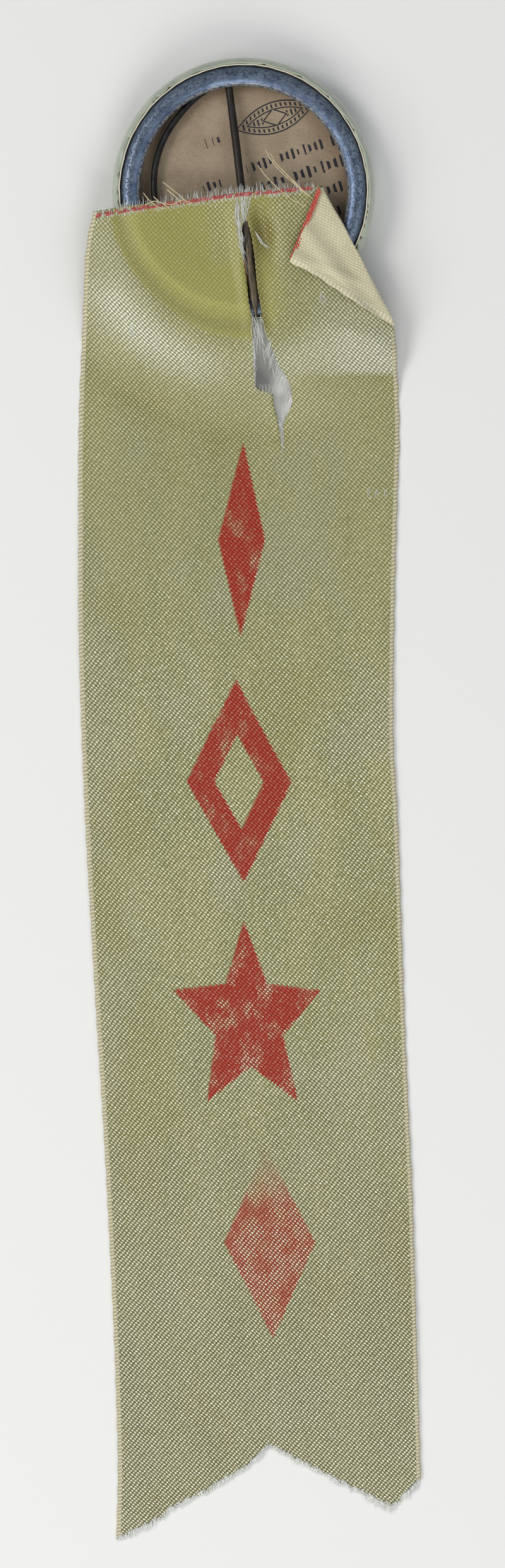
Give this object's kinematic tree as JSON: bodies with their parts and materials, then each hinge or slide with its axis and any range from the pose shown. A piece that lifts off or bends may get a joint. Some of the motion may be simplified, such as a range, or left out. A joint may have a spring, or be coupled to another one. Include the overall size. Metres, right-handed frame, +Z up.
{
  "type": "award ribbon",
  "caption": "Pin-back button lying face down with a collet, back paper and sprung wire pin, and a draped swallowtail silk ribbon threaded on the pin, one corner folded.",
  "frame": {"origin": "centre of the bounding box, on the surface the object lies on", "axes": "+X to the right and +Y from the swallowtail towards the button, as seen from above; +Z up, away from the surface, out of the button's back"},
  "size_m": [0.0438, 0.189, 0.0069],
  "materials": {
    "celluloid": "gloss, yellowed",
    "face_paper": "printed paper",
    "shell_tin": "plain tinplate",
    "collet_tin": "bright tinplate, freckled with age",
    "back_paper": "matt kraft paper",
    "hoop_wire": "darkened",
    "pin_wire": "darkened, a little rust",
    "ribbon_silk": "lustrous silk, aged olive cream",
    "ribbon_silk_back": "twill reverse, paler",
    "red_thread": "dull"
  },
  "bodies": {
    "button": {"celluloid_cover": "celluloid", "face_paper": "face_paper", "face_shell": "shell_tin", "collet": "collet_tin", "back_paper": "back_paper"},
    "hoop": {"pin_hoop": "hoop_wire"},
    "arm": {"pin_arm": "pin_wire"},
    "head": {"ribbon_head": "ribbon_silk", "red_line_head": "red_thread"},
    "corner": {"ribbon_corner": "ribbon_silk_back", "red_line_corner": "red_thread"},
    "tail": {"ribbon_tail": "ribbon_silk"}
  },
  "joints": [
    {"name": "hoop_turn", "type": "hinge", "parent": "button", "child": "hoop", "pos_m": [-0.0013, 0.07875, 0.00375], "axis": [0, 0, 1], "continuous": true},
    {"name": "pin_spring", "type": "hinge", "parent": "hoop", "child": "arm", "pos_m": [-0.00305, 0.0911, 0.00375], "axis": [-0.9925, -0.1225, 0], "range_deg": [0, 28], "stiffness_Nm_per_rad": 0.02},
    {"name": "ribbon_slide", "type": "slide", "parent": "arm", "child": "head", "axis": [0.1221, -0.9892, 0.0808], "range_m": [0, 0.03]},
    {"name": "ribbon_fold", "type": "hinge", "parent": "head", "child": "tail", "pos_m": [-0.0019, 0.0616, 0.0059], "axis": [-1, 0, 0], "range_deg": [0, 105]},
    {"name": "corner_fold", "type": "hinge", "parent": "head", "child": "corner", "pos_m": [0.008, 0.0793, 0.0062], "axis": [-0.4815, 0.8764, 0], "range_deg": [0, 165]}
  ]
}
